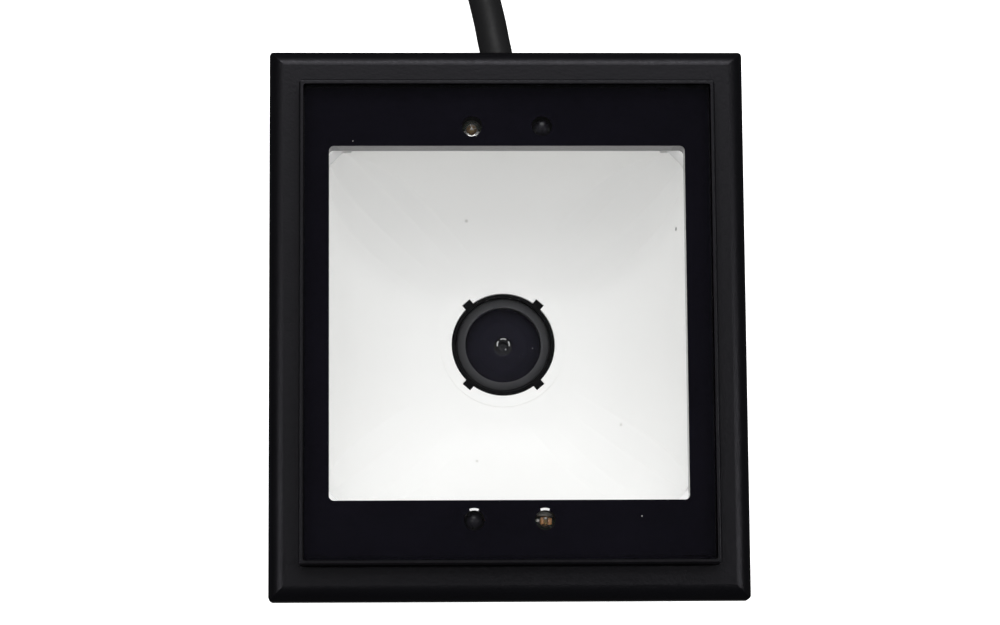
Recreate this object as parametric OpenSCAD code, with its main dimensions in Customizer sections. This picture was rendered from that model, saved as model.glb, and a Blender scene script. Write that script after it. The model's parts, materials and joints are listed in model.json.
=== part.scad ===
// Fixed barcode reader for building into a panel. It lies on its flat back, its window looks along +Z
// and its cable leaves along +Y.

/* [Window] */
// Width of the clear window
window_w = 50.9; // [48:0.1:54]
// Length of the clear window along the cable direction
window_l = 50.9; // [48:0.1:56]
// Corner radius of the clear window
window_r = 0.7; // [0.3:0.1:2]
// Thickness of the clear window panel
panel_t = 2; // [1.5:0.1:2]
// Distance of the panel's front below the rim
panel_drop = 0.2; // [0.1:0.05:0.4]
// Gap between the panel and the rim
panel_gap = 0.2; // [0.1:0.05:0.4]
// Thickness of the black print behind the panel
print_t = 0.1; // [0.05:0.05:0.2]
// Thickness of the adhesive seal under the print
seal_t = 0.3; // [0.2:0.05:0.5]

/* [Raised bezel] */
// Width of the black border beside the window, the rim included
border_w = 4.25; // [3.5:0.05:6]
// Width of the black border above and below the window, the rim included
border_l = 9.25; // [9.25:0.05:12]
// Height of the bezel above the flange
bezel_h = 2.6; // [2.5:0.1:4]
// Corner radius of the bezel
bezel_r = 0.6; // [0.4:0.1:2]
// Width of the thin rim round the window panel
rim_w = 0.6; // [0.5:0.1:1.5]
// Width of the rounding along the rim's outer edge
rim_edge_w = 0.3; // [0.15:0.05:0.4]
// Fall of that rounding
rim_drop = 0.2; // [0.1:0.05:0.3]

/* [Front flange] */
// Reach of the flange beside the bezel
step_w = 4.3; // [3:0.1:8]
// Reach of the flange above and below the bezel
step_l = 4.8; // [3:0.1:10]
// Thickness of the flange and of the deck behind the window panel
flange_t = 3.65; // [2.8:0.05:5]
// Corner radius of the flange
flange_r = 0.7; // [0.3:0.1:2]
// Width of the crowned band along the flange edge
crown_w = 2.1; // [1:0.1:2.6]
// Fall of the crowned band from the flat to the edge
crown_drop = 1.3; // [0.5:0.1:1.8]

/* [Housing] */
// Corner radius of the body
body_r = 3; // [2.5:0.5:5]
// Thickness of the body walls
wall = 2; // [1.6:0.1:2.2]
// Thickness of the rear cover
cover_t = 3; // [2.8:0.1:3.6]
// Width of the rounding round the rear cover's outer face
cover_edge_w = 0.8; // [0.4:0.1:1.2]
// Fall of that rounding
cover_drop = 0.6; // [0.2:0.1:0.9]

/* [Indicator lamps] */
// Diameter of each lamp
lamp_d = 3; // [2.5:0.1:3]
// Diameter of the clear eye in the print before each lamp
eye_d = 2.92; // [2:0.02:3]
// Distance of each lamp from the middle plane
lamp_x = 5; // [3.5:0.5:6]
// Distance of the lamps from the window's edge
lamp_edge = 2.85; // [2.75:0.05:3.1]
// Length of each lamp
lamp_len = 5.3; // [4.8:0.1:6]

/* [Diffuser bowl] */
// Distance from the black print down to the bowl's floor
bowl_depth = 22; // [20:0.5:22.5]
// Wall thickness of the bowl
bowl_t = 1.2; // [0.8:0.1:1.4]
// Radius of the side walls' curve
bowl_rx = 17; // [12:0.5:17]
// Radius of the end walls' curve
bowl_ry = 14; // [10:0.5:16]
// Diameter of the lens hole
lens_hole_d = 15.3; // [15:0.1:15.6]
// Width of each notch at the lens hole
notch_w = 1.5; // [1:0.1:2]
// Distance from the lens axis to the notches' outer ends
notch_reach = 8.4; // [8.2:0.1:9]
// Angle of the notches from the width direction
notch_deg = 49; // [40:1:50]
// Diameter of the shallow boss round the lens hole
boss_d = 18.6; // [17.5:0.1:20]
// Height of the shallow boss
boss_h = 0.2; // [0.1:0.05:0.3]

/* [Lens] */
// Outer diameter of the lens head
lens_d = 13.9; // [13:0.1:14]
// Diameter of the front glass
glass_d = 11.3; // [10:0.1:11.8]
// Diameter of the lens thread
thread_d = 12; // [11:0.5:12]
// Length of the threaded lens tube
thread_len = 3.2; // [2.8:0.1:3.3]

/* [Boards] */
// Thickness of each board
board_t = 1.6; // [1:0.1:1.6]
// Distance from the side walls to the decoder and lighting boards
board_side_gap = 2.7; // [2:0.1:4]
// Distance from the end walls to the decoder and lighting boards
board_end_gap = 7.7; // [7:0.1:9]
// Distance from the camera board's edges to the larger boards' edges
board_set_back = 2; // [1:0.5:3]
// Distance from the camera board's edges to the board screws
board_hole_inset = 3; // [2.5:0.1:3.5]
// Height of the decoder board above the rear cover
decoder_lift = 5; // [4:0.1:8]
// Number of white lamps behind the diffuser
light_count = 8; // [4:1:10]

/* [Fixing] */
// Distance between the threaded inserts across the width
insert_dx = 30; // [26:1:32]
// Distance between the threaded inserts along the length
insert_dy = 50; // [48:1:52]
// Core diameter of the inserts' thread
insert_core_d = 2.5; // [2:0.1:3]
// Outer diameter of the inserts
insert_d = 4; // [3.8:0.1:4.6]
// Shank diameter of the rear cover screws
cover_screw_d = 2.5; // [2:0.1:2.6]
// Shank diameter of the inner screws
small_screw_d = 2; // [1.6:0.1:2]

/* [Cable] */
// Diameter of the cable
cable_d = 5; // [4.5:0.1:5.4]
// Height of the cable's axis where it leaves the body
cable_z = 6.5; // [6.2:0.1:7.5]
// Length of the strain relief outside the body
relief_len = 12; // [9:0.5:12]

/* [Plug] */
// Length of the plug's grip
grip_len = 28; // [24:1:34]
// Width of the plug's grip
grip_w = 15.6; // [14:0.2:18]
// Thickness of the plug's grip
grip_t = 8; // [7:0.2:8.4]
// Width of the plug's metal shell
shell_w = 12; // [11:0.1:12.4]
// Thickness of the plug's metal shell
shell_h = 4.5; // [4:0.1:4.8]
// Length of the metal shell outside the grip
shell_len = 14.5; // [12:0.5:16]

/* [Hidden] */
$fn = 96;
overrun = 0.5;

// Outlines that follow from the window
bezel_w = window_w + 2 * border_w;
bezel_l = window_l + 2 * border_l;
flange_w = bezel_w + 2 * step_w;
flange_l = bezel_l + 2 * step_l;
body_w = bezel_w;
body_l = bezel_l;

// Boards and gaps from the rear cover up to the bowl's floor
decoder_gap = 5.4;
camera_gap = 3.6;
light_gap = 4.4;
decoder_z = cover_t + decoder_lift;
decoder_top_z = decoder_z + board_t;
camera_z = decoder_top_z + decoder_gap;
camera_top_z = camera_z + board_t;
light_z = camera_top_z + camera_gap;
light_top_z = light_z + board_t;
floor_z = light_top_z + light_gap;

// Levels from there to the front
depth = floor_z + bowl_depth + print_t + panel_t + panel_drop;
panel_z = depth - panel_drop - panel_t;
print_z = panel_z - print_t;
deck_z = print_z - seal_t;
flange_z = depth - bezel_h;
back_z = flange_z - flange_t;
panel_w = bezel_w - 2 * (rim_w + panel_gap);
panel_l = bezel_l - 2 * (rim_w + panel_gap);
panel_r = 0.4;
inner_w = body_w - 2 * wall;
inner_l = body_l - 2 * wall;
inner_r = body_r - wall;

// The opening in the deck stands just outside the print's edge
opening_gap = 0.1;
opening_w = window_w + 2 * opening_gap;
opening_l = window_l + 2 * opening_gap;

// Corner columns take the rear cover screws and merge with the walls
column_r = 2.6;
column_sink = 0.5;
column_x = inner_w / 2 - column_r + column_sink;
column_y = inner_l / 2 - column_r + column_sink;
screw_reach = 8;
thread_gap = 0.02;
hole_gap = 0.1;
head_gap = 0.25;
cover_head_r = 2.25;
cover_head_h = 1.5;
head_recess = 1.7;
cross_w = 0.6;
cross_share = 0.6;
cross_depth = 0.8;

// Lip, bosses and seal groove of the rear cover
lip_gap = 0.15;
lip_t = 1.2;
lip_h = 2;
column_gap = 0.2;
groove_w = 0.8;
groove_depth = 0.6;
insert_len = 4.2;
insert_recess = 0.2;
insert_wall = 1.3;
insert_floor_t = 1;
insert_groove_w = 0.8;
insert_groove_depth = 0.2;

// Indicator lamps stand on small boards that are staked to the deck
lamp_y = window_l / 2 + lamp_edge;
lamp_gap = 0.12;
lamp_top_gap = 0.3;
lamp_top_z = deck_z - lamp_top_gap;
lamp_base_z = lamp_top_z - lamp_len;
lamp_board_t = 1;
lamp_board_w = 19;
lamp_board_lap = 0.55;
lamp_board_margin = 0.45;
lamp_board_in = lamp_y - lamp_board_lap;
lamp_board_out = inner_l / 2 - lamp_board_margin;
stake_inset = 1.7;
stake_x = lamp_board_w / 2 - stake_inset;
stake_y = lamp_board_out - stake_inset;
stake_r = 1.4;
stake_pin_r = 0.7;
stake_pin_gap = 0.05;

// Diffuser bowl: crossed troughs cut out of larger ones, with slanted troughs that ease the corners
bowl_h = back_z - floor_z;
slant_step = 22.5;
slant_degs = [for (a = [slant_step : slant_step : 180 - slant_step]) if (a != 90) a];
mouth_corner_r = 0.7;
floor_corner_r = 7;
bowl_step_x = 0.3;
bowl_step_y = 0.05;
bowl_x = window_w / 2 + bowl_step_x;
bowl_y = window_l / 2 + bowl_step_y;
bowl_lip_t = 1.2;
bowl_lip_gap = 0.3;
bowl_screw_x = 15;
bowl_screw_inset = 2.75;
bowl_screw_y = inner_l / 2 - bowl_screw_inset;
small_head_r = 1.9;
small_head_h = 1.3;
bowl_screw_reach = 2.4;
corner_notch_w = 3.7;
corner_notch_h = 1.3;
post_r = 2;
shoulder_r = 3;

// Boards, their screws and the ring of white lamps
big_board_w = inner_w - 2 * board_side_gap;
big_board_l = inner_l - 2 * board_end_gap;
camera_w = big_board_w - 2 * board_set_back;
camera_l = big_board_l - 2 * board_set_back;
board_hole_x = camera_w / 2 - board_hole_inset;
board_hole_y = camera_l / 2 - board_hole_inset;
board_screw_grip = 4.4;
board_screw_top_z = camera_top_z + board_screw_grip;
spacer_r = 2.5;
board_r = 1;
light_hole_r = 8.2;
light_ring_r = 15;
light_lamp_w = 3.5;
light_lamp_l = 2.8;
light_lamp_h = 0.8;

// Chips, sounder and stacking connectors, placed as shares of half a board's size
chip_h = 1.2;
power_h = 2.4;
processor_w = 12;
memory_w = 8;
memory_l = 11;
camera_chip_w = 5;
processor_share = [-0.42, -0.24];
memory_share = [0.16, -0.44];
power_share = [0.62, 0.28];
light_driver_share = [0.62, -0.1];
clock_share = [-0.62, 0.4];
buzzer_r = 4.5;
buzzer_h = 4.4;
buzzer_port_r = 1;
buzzer_share = [0.62, -0.2];
stack_w = 14;
stack_l = 3.6;
stack_share = [-0.5, 0.3];
light_stack_w = 9;
light_stack_share = 0.84;

// Lens stack; the barrel's head stands in the bowl's hole
lens_gap = 0.2;
lens_front_z = floor_z - lens_gap;
ring_h = 1;
ring_edge = 0.1;
head_h = 3;
head_z = lens_front_z - ring_h - head_h;
barrel_z = head_z - thread_len;
barrel_bore_r = glass_d / 2;
barrel_throat_r = 4;
throat_step = 1;
throat_z = head_z + throat_step;
stop_t = 0.4;
stop_hole_r = 1.9;
stop_step_r = 3;
stop_step_depth = 0.2;
glass_edge_t = 0.8;
glass_rise = 0.9;
rear_glass_t = 1.5;
holder_wall = 0.9;
holder_w = 16;
holder_base_h = 2;
holder_top_z = head_z - lens_gap;
filter_t = 0.4;
sensor_w = 6.4;
sensor_l = 5.6;
sensor_h = 0.9;
sensor_room_w = 8;
sensor_room_l = 7;
shroud_gap = 0.1;
shroud_t = 0.5;
tab_gap = 0.05;
tab_h = 1.1;

// Flat cables from the indicator boards to the camera board
ribbon_w = 6;
ribbon_t = 0.3;
ribbon_inset = 1.3;
ribbon_lift = 0.6;
ribbon_y = lamp_board_out - ribbon_inset;
ribbon_z = camera_top_z + ribbon_lift;
socket_w = 8;
socket_l = 2.4;
socket_h = 1.2;
socket_inset = 0.6;
socket_y = camera_l / 2 - socket_inset;

// Cable entry through the wall
neck_r = 3.5;
collar_r = 4.7;
collar_t = 1.5;
relief_root_r = 4.2;
relief_tip_r = 3.3;
relief_rings = 3;
ring_groove_w = 1;
ring_groove_depth = 0.2;
entry_y = body_l / 2;
relief_end_y = entry_y + relief_len;
jacket_tail = 4.5;
jacket_start_y = inner_l / 2 - jacket_tail;
wire_d = 0.9;
wire_pitch = 1.2;
wire_count = 4;
wire_drop = 1.2;
header_w = 10;
header_l = 4;
header_h = 4.2;
wire_plug_w = 8;
wire_plug_l = 4.6;
wire_plug_h = 3.4;
wire_lift = 2.2;
wire_run = 1.5;
wire_rise_y = jacket_start_y - wire_drop - wire_d;
wire_plug_y = wire_rise_y - wire_run - wire_plug_l;
header_y = wire_plug_y - header_l;
wire_z = decoder_top_z + wire_lift;

// Cable coil: two layers of three and a half turns each
turn_columns = 4.5;
coil_mid_r = 30;
coil_x = -21.5;
coil_y = 114;
coil_layers = 2;
coil_half = turn_columns * cable_d / 2;
outer_turn_r = coil_mid_r + coil_half - cable_d / 2;
coil_h = coil_layers * cable_d;
coil_edge_r = 1.5;
stub_len = 22;
entry_deg = -30;
low_z = cable_d / 2;
high_z = low_z + cable_d;
entry_dir = [-sin(entry_deg), cos(entry_deg), 0];
entry_turn = [coil_x + outer_turn_r * cos(entry_deg), coil_y + outer_turn_r * sin(entry_deg), low_z];
lead_end = entry_turn - stub_len * entry_dir;
lead_points = [
    [0, relief_end_y, cable_z], [0, 48, 6.5], [-0.5, 51, 6.1], [-1, 54, 5.4], [-1.6, 57, 4.5],
    [-2.2, 60, 3.7], [-2.6, 62.9, 3.1], [-2.5, 65.7, 2.7], [-2.1, 68.4, 2.5], [-1.3, 71.1, 2.5],
    lead_end - 2 * entry_dir, lead_end
];

// The far end climbs onto the coil and turns across it
climb_run = 20;
climb_rise = 5.1;
climb_r = 33;
climb_end = [coil_x - climb_r, coil_y, high_z + climb_rise];
climb_start = climb_end + [0, climb_run, -climb_rise];
coil_top = [coil_x, coil_y, 0];
tail_end = coil_top + [-11.5, -20, coil_h + grip_t / 2];
tail_points = [
    climb_end, climb_end + (climb_end - climb_start) / climb_run,
    coil_top + [-32.7, -3.5, 13.3], coil_top + [-31.8, -6.8, 13.7], coil_top + [-30.3, -10, 13.9],
    coil_top + [-28.3, -12.9, 14], coil_top + [-25.9, -15.3, 14], coil_top + [-23, -17.3, 14],
    coil_top + [-19.8, -18.8, 14], coil_top + [-16.5, -19.7, 14], tail_end + [-1.5, 0, 0], tail_end
];
cord_sides = 12;

// Plug at the cord's end, lying flat on the coil
plug_relief_len = 8;
grip_r = 2.4;
grip_edge = 1;
grip_waist = 0.8;
grip_waist_len = 9;
shell_t = 0.3;
latch_w = 2.2;
latch_l = 2;
latch_x = 2.6;
latch_in = 5.2;
tongue_w = 11;
tongue_t = 1.8;
tongue_short = 1;
contact_w = 1.2;
contact_t = 0.15;
contact_len = 8;
contact_shares = [-0.68, -0.23, 0.23, 0.68];

// Rounded rectangle in plan
module rounded_rect(w, l, r) {
    square([w - 2 * r, l], center = true);
    square([w, l - 2 * r], center = true);
    for (x = [-1, 1], y = [-1, 1])
        translate([x * (w / 2 - r), y * (l / 2 - r)])
            circle(r);
}

// Rounded rectangular plate between two levels
module plate(w, l, r, z0, z1) {
    translate([0, 0, z0])
        linear_extrude(z1 - z0)
            rounded_rect(w, l, r);
}

// Round bar standing between two levels
module bar(r, z0, z1) {
    translate([0, 0, z0])
        cylinder(h = z1 - z0, r = r);
}

// Copies at the four mirrored corners
module at_corners(x, y) {
    for (sx = [-1, 1], sy = [-1, 1])
        translate([sx * x, sy * y, 0])
            children();
}

// The four corner columns, square towards the corner and round towards the middle
module columns(grow, z0, z1) {
    side = column_r + overrun;
    at_corners(column_x, column_y)
        bar(column_r + grow, z0, z1);
    at_corners(column_x + side / 2, column_y + side / 2)
        translate([-side / 2, -side / 2, z0])
            cube([side, side, z1 - z0]);
}

// Flat profile whose two upper corners fall away along an arc
module crowned_profile(w, h, band, drop) {
    arc_r = (band * band + drop * drop) / (2 * drop);
    difference() {
        translate([-w / 2, 0])
            square([w, h]);
        for (s = [-1, 1])
            difference() {
                translate([s * (w / 2 - band / 2 + overrun / 2), h - drop / 2 + overrun / 2])
                    square([band + overrun, drop + overrun], center = true);
                translate([s * (w / 2 - band), h - arc_r])
                    circle(arc_r);
            }
    }
}

// Slab with rounded corners in plan and crowned upper edges
module crowned_slab(w, l, h, r, band, drop) {
    intersection() {
        linear_extrude(h)
            rounded_rect(w, l, r);
        translate([0, l / 2 + overrun, 0])
            rotate([90, 0, 0])
                linear_extrude(l + 2 * overrun)
                    crowned_profile(w, h, band, drop);
        translate([-w / 2 - overrun, 0, 0])
            rotate([90, 0, 90])
                linear_extrude(w + 2 * overrun)
                    crowned_profile(l, h, band, drop);
    }
}

// Profile of a trough with round lower corners
module trough_profile(half, h, r) {
    intersection() {
        translate([-half, 0])
            square([2 * half, h]);
        union() {
            translate([-(half - r), 0])
                square([2 * (half - r), h]);
            translate([-half, r])
                square([2 * half, h]);
            for (s = [-1, 1])
                translate([s * (half - r), r])
                    circle(r);
        }
    }
}

// Reach of a rounded rectangle from its middle, measured along a direction
function reach_along(x, y, r, deg) = (x - r) * abs(cos(deg)) + (y - r) * sin(deg) + r;

// Trough through the middle with its walls across a direction, open towards the front
module trough(deg, half, side_r, grow, above) {
    run = bowl_x + bowl_y;
    rotate([0, 0, deg])
        translate([0, run, floor_z - grow])
            rotate([90, 0, 0])
                linear_extrude(2 * run)
                    trough_profile(half + grow, bowl_h + grow + above, side_r + grow);
}

// Troughs that cross at right angles and at slants
module crossed_troughs(grow, above) {
    intersection() {
        trough(0, bowl_x, bowl_rx, grow, above);
        trough(90, bowl_y, bowl_ry, grow, above);
        intersection_for (deg = slant_degs) {
            mouth = reach_along(bowl_x, bowl_y, mouth_corner_r, deg);
            foot = reach_along(bowl_x - bowl_rx, bowl_y - bowl_ry, floor_corner_r, deg);
            trough(deg, mouth, mouth - foot, grow, above);
        }
    }
}

// Pan head screw that points along +Z, its head below the given level
module screw(head_r, head_h, shank_r, seat_z, tip_z) {
    difference() {
        union() {
            bar(head_r, seat_z - head_h, seat_z);
            bar(shank_r, seat_z, tip_z);
        }
        for (a = [0, 90])
            rotate([0, 0, a])
                translate([-head_r * cross_share, -cross_w / 2, seat_z - head_h - overrun])
                    cube([2 * head_r * cross_share, cross_w, cross_depth + overrun]);
    }
}

// Front moulding: flange, raised bezel, deck and deep walls in one piece
module front_housing() {
    color("#2a2a2f")
        difference() {
            union() {
                translate([0, 0, back_z])
                    crowned_slab(flange_w, flange_l, flange_t, flange_r, crown_w, crown_drop);
                translate([0, 0, back_z])
                    crowned_slab(bezel_w, bezel_l, flange_t + bezel_h, bezel_r, rim_edge_w, rim_drop);
                plate(body_w, body_l, body_r, cover_t, back_z);
            }
            plate(panel_w + 2 * panel_gap, panel_l + 2 * panel_gap, panel_r, deck_z, depth + overrun);
            plate(opening_w, opening_l, window_r, back_z - overrun, deck_z + overrun);
            difference() {
                plate(inner_w, inner_l, inner_r, cover_t - overrun, back_z);
                columns(0, cover_t - 2 * overrun, back_z + overrun);
                at_corners(stake_x, stake_y) {
                    bar(stake_r, lamp_base_z, back_z + overrun);
                    bar(stake_pin_r, lamp_base_z - lamp_board_t - stake_pin_r / 2, lamp_base_z + overrun);
                }
            }
            at_corners(column_x, column_y)
                bar(cover_screw_d / 2 + thread_gap, cover_t - overrun, cover_t + screw_reach);
            at_corners(bowl_screw_x, bowl_screw_y)
                bar(small_screw_d / 2 + thread_gap, back_z - overrun,
                    back_z + bowl_screw_reach + thread_gap);
            at_corners(lamp_x, lamp_y)
                bar(lamp_d / 2 + lamp_gap, back_z - overrun, deck_z + overrun);
            cable_slot();
        }
}

// Slot in the wall that takes the grommet's neck, open towards the rear cover
module cable_slot() {
    translate([0, entry_y + overrun, cable_z])
        rotate([90, 0, 0])
            cylinder(h = wall + 2 * overrun, r = neck_r);
    translate([-neck_r, entry_y - wall - overrun, cover_t - overrun])
        cube([2 * neck_r, wall + 2 * overrun, cable_z - cover_t + overrun]);
}

// Rear cover with its locating lip, insert bosses and seal groove
module rear_cover() {
    color("#26262a")
        difference() {
            union() {
                translate([0, 0, cover_t])
                    mirror([0, 0, 1])
                        crowned_slab(body_w, body_l, cover_t, body_r, cover_edge_w, cover_drop);
                cover_lip();
                at_corners(insert_dx / 2, insert_dy / 2)
                    bar(insert_d / 2 + insert_wall, cover_t, insert_recess + insert_len + insert_floor_t);
            }
            seal_ring_plan(cover_t - groove_depth, cover_t + overrun);
            at_corners(column_x, column_y) {
                bar(cover_head_r + head_gap, -overrun, head_recess);
                bar(cover_screw_d / 2 + hole_gap, 0, cover_t + overrun);
            }
            at_corners(insert_dx / 2, insert_dy / 2)
                bar(insert_d / 2, -overrun, insert_recess + insert_len);
        }
}

// Locating lip inside the walls, cleared round the columns and the cable
module cover_lip() {
    lip_w = inner_w - 2 * lip_gap;
    lip_l = inner_l - 2 * lip_gap;
    difference() {
        plate(lip_w, lip_l, inner_r, cover_t, cover_t + lip_h);
        plate(lip_w - 2 * lip_t, lip_l - 2 * lip_t, inner_r / 2, cover_t - overrun,
            cover_t + lip_h + overrun);
        columns(column_gap, cover_t, cover_t + lip_h + overrun);
        translate([-collar_r - lip_gap, lip_l / 2 - lip_t - overrun, cover_t])
            cube([2 * (collar_r + lip_gap), lip_t + 2 * overrun, lip_h + overrun]);
    }
}

// Ring in the middle of the wall's end face
module seal_ring_plan(z0, z1) {
    mid_w = body_w - wall;
    mid_l = body_l - wall;
    mid_r = body_r - wall / 2;
    difference() {
        plate(mid_w + groove_w, mid_l + groove_w, mid_r + groove_w / 2, z0, z1);
        plate(mid_w - groove_w, mid_l - groove_w, mid_r - groove_w / 2, z0 - overrun, z1 + overrun);
    }
}

module cover_seal() {
    color("#3a3a3a")
        seal_ring_plan(cover_t - groove_depth, cover_t);
}

module cover_screws() {
    color("#b9bcc0")
        at_corners(column_x, column_y)
            screw(cover_head_r, cover_head_h, cover_screw_d / 2, head_recess,
                cover_t + screw_reach - hole_gap);
}

// Brass inserts for the bracket screws
module threaded_inserts() {
    color("#c9a24a")
        at_corners(insert_dx / 2, insert_dy / 2)
            difference() {
                bar(insert_d / 2, insert_recess, insert_recess + insert_len);
                bar(insert_core_d / 2, 0, insert_recess + insert_len + overrun);
                difference() {
                    bar(insert_d / 2 + overrun, insert_recess + insert_len / 2 - insert_groove_w / 2,
                        insert_recess + insert_len / 2 + insert_groove_w / 2);
                    bar(insert_d / 2 - insert_groove_depth, 0, insert_len);
                }
            }
}

module window_panel() {
    color("#9aa4ac", 0.35)
        plate(panel_w, panel_l, panel_r, panel_z, panel_z + panel_t);
}

// Black print behind the panel with the window and the four lamp eyes left clear
module window_print() {
    color("#0d0d11")
        difference() {
            plate(panel_w, panel_l, panel_r, print_z, panel_z);
            plate(window_w, window_l, window_r, print_z - overrun, panel_z + overrun);
            at_corners(lamp_x, lamp_y)
                bar(eye_d / 2, print_z - overrun, panel_z + overrun);
        }
}

module window_seal() {
    color("#1c1c1e")
        difference() {
            plate(panel_w, panel_l, panel_r, deck_z, print_z);
            plate(opening_w, opening_l, window_r, deck_z - overrun, print_z + overrun);
            at_corners(lamp_x, lamp_y)
                bar(lamp_d / 2 + lamp_gap, deck_z - overrun, print_z + overrun);
        }
}

// White diffuser bowl: the crossed troughs, a fixing lip and four posts for the boards
module diffuser_bowl() {
    color("#f4f4f2")
        difference() {
            union() {
                crossed_troughs(bowl_t, 0);
                bowl_lip();
                at_corners(board_hole_x, board_hole_y) {
                    bar(shoulder_r, light_top_z, floor_z + bowl_h / 2);
                    bar(post_r, camera_top_z, light_top_z + overrun);
                }
            }
            difference() {
                crossed_troughs(0, overrun);
                bar(boss_d / 2, floor_z - overrun, floor_z + boss_h);
            }
            bar(lens_hole_d / 2, floor_z - bowl_t - overrun, floor_z + boss_h + overrun);
            lens_notches(notch_w, notch_reach, floor_z - bowl_t - overrun, floor_z + boss_h + overrun);
            at_corners(lamp_x, lamp_y)
                bar(lamp_d / 2 + lamp_gap, lamp_base_z - overrun, back_z + overrun);
            at_corners(bowl_x - corner_notch_w / 2 + overrun, bowl_y)
                translate([-corner_notch_w / 2 - overrun / 2, -2 * bowl_t, back_z - corner_notch_h])
                    cube([corner_notch_w + overrun, 4 * bowl_t, corner_notch_h + overrun]);
            at_corners(board_hole_x, board_hole_y)
                bar(small_screw_d / 2 + thread_gap, camera_top_z - overrun, board_screw_top_z);
        }
}

// Lip under the deck with room for the columns and the indicator boards
module bowl_lip() {
    difference() {
        plate(inner_w - 2 * bowl_lip_gap, inner_l - 2 * bowl_lip_gap, inner_r, back_z - bowl_lip_t, back_z);
        columns(column_gap, back_z - bowl_lip_t - overrun, back_z + overrun);
        for (s = [-1, 1])
            translate([0, s * (bowl_y + bowl_t + inner_l / 2), back_z - bowl_lip_t / 2])
                cube([lamp_board_w + 2 * bowl_lip_gap, inner_l, bowl_lip_t + 2 * overrun], center = true);
        at_corners(bowl_screw_x, bowl_screw_y)
            bar(small_screw_d / 2 + hole_gap, back_z - bowl_lip_t - overrun, back_z + overrun);
    }
}

// Four slanted bars that reach out from the lens axis
module lens_notches(w, reach, z0, z1) {
    for (a = [-notch_deg, notch_deg])
        rotate([0, 0, a])
            translate([-reach, -w / 2, z0])
                cube([2 * reach, w, z1 - z0]);
}

module bowl_screws() {
    color("#b9bcc0")
        at_corners(bowl_screw_x, bowl_screw_y)
            screw(small_head_r, small_head_h, small_screw_d / 2, back_z - bowl_lip_t,
                back_z + bowl_screw_reach);
}

// Black tube round the lens head with four tabs in the bowl's notches
module lens_shroud() {
    tab_root = lens_d / 2 + shroud_gap + shroud_t / 2;
    color("#101012")
        difference() {
            union() {
                bar(lens_d / 2 + shroud_gap + shroud_t, light_top_z, floor_z);
                for (side = [0, 180], a = [-notch_deg, notch_deg])
                    rotate([0, 0, side + a])
                        translate([tab_root, tab_gap - notch_w / 2, floor_z - tab_h])
                            cube([notch_reach - tab_root - tab_gap, notch_w - 2 * tab_gap, tab_h - tab_gap]);
            }
            bar(lens_d / 2 + shroud_gap, light_top_z - overrun, floor_z + overrun);
        }
}

module lens_barrel() {
    color("#1b1b1d")
        difference() {
            union() {
                bar(lens_d / 2, head_z, head_z + head_h);
                bar(thread_d / 2, barrel_z, head_z);
            }
            bar(barrel_bore_r, throat_z, head_z + head_h + overrun);
            bar(barrel_throat_r, barrel_z - overrun, throat_z + overrun);
        }
}

// Bevelled ring that holds the front glass
module lens_front_ring() {
    ring_z = head_z + head_h;
    color("#6d6f73")
        translate([0, 0, ring_z])
            rotate_extrude()
                polygon([
                    [barrel_bore_r - ring_edge, 0], [lens_d / 2, 0], [lens_d / 2, ring_h],
                    [lens_d / 2 - ring_edge, ring_h], [barrel_bore_r - ring_edge, ring_edge]
                ]);
}

// Front glass with a domed front, seated on the stop
module lens_front_glass() {
    glass_r = barrel_bore_r;
    dome_r = (glass_r * glass_r + glass_rise * glass_rise) / (2 * glass_rise);
    glass_z = throat_z + stop_t;
    color("#20242c", 0.5)
        intersection() {
            bar(glass_r, glass_z, glass_z + glass_edge_t + glass_rise);
            translate([0, 0, glass_z + glass_edge_t + glass_rise - dome_r])
                sphere(dome_r);
        }
}

// Stepped stop behind the front glass
module lens_stop() {
    color("#0b0b0d")
        difference() {
            bar(barrel_bore_r, throat_z, throat_z + stop_t);
            bar(stop_hole_r, throat_z - overrun, throat_z + stop_t + overrun);
            bar(stop_step_r, throat_z + stop_t - stop_step_depth, throat_z + stop_t + overrun);
        }
}

module lens_rear_glass() {
    color("#20242c", 0.5)
        bar(barrel_throat_r, throat_z - 2 * rear_glass_t, throat_z - rear_glass_t);
}

// Square holder that carries the lens tube over the sensor
module lens_holder() {
    color("#161618")
        difference() {
            union() {
                plate(holder_w, holder_w, board_r, camera_top_z, camera_top_z + holder_base_h);
                bar(thread_d / 2 + holder_wall, camera_top_z, holder_top_z);
            }
            bar(thread_d / 2, camera_top_z + holder_base_h - filter_t, holder_top_z + overrun);
            plate(sensor_room_w, sensor_room_l, board_r / 2, camera_top_z - overrun, holder_top_z);
        }
}

module infrared_filter() {
    color("#7fb3a5", 0.5)
        bar(thread_d / 2 - thread_gap, camera_top_z + holder_base_h - filter_t,
            camera_top_z + holder_base_h);
}

module image_sensor() {
    color("#2f3a44")
        plate(sensor_w, sensor_l, board_r / 2, camera_top_z, camera_top_z + sensor_h);
}

// Board with four screw holes
module holed_board(w, l, z0, hole_r) {
    difference() {
        plate(w, l, board_r, z0, z0 + board_t);
        at_corners(board_hole_x, board_hole_y)
            bar(hole_r, z0 - overrun, z0 + board_t + overrun);
    }
}

module camera_board() {
    color("#1d5b34")
        holed_board(camera_w, camera_l, camera_z, small_screw_d / 2 + hole_gap);
}

module light_board() {
    color("#e9ebe6")
        difference() {
            holed_board(big_board_w, big_board_l, light_z, post_r + hole_gap);
            bar(light_hole_r, light_z - overrun, light_top_z + overrun);
        }
}

module decoder_board() {
    color("#1d5b34")
        holed_board(big_board_w, big_board_l, decoder_z, small_screw_d / 2 + hole_gap);
}

// White lamps in a ring on the lighting board
module light_lamps() {
    color("#f2e9a0")
        for (i = [0 : light_count - 1])
            rotate([0, 0, (i + 0.5) * 360 / light_count])
                translate([light_ring_r, 0, light_top_z + light_lamp_h / 2])
                    cube([light_lamp_l, light_lamp_w, light_lamp_h], center = true);
}

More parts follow.
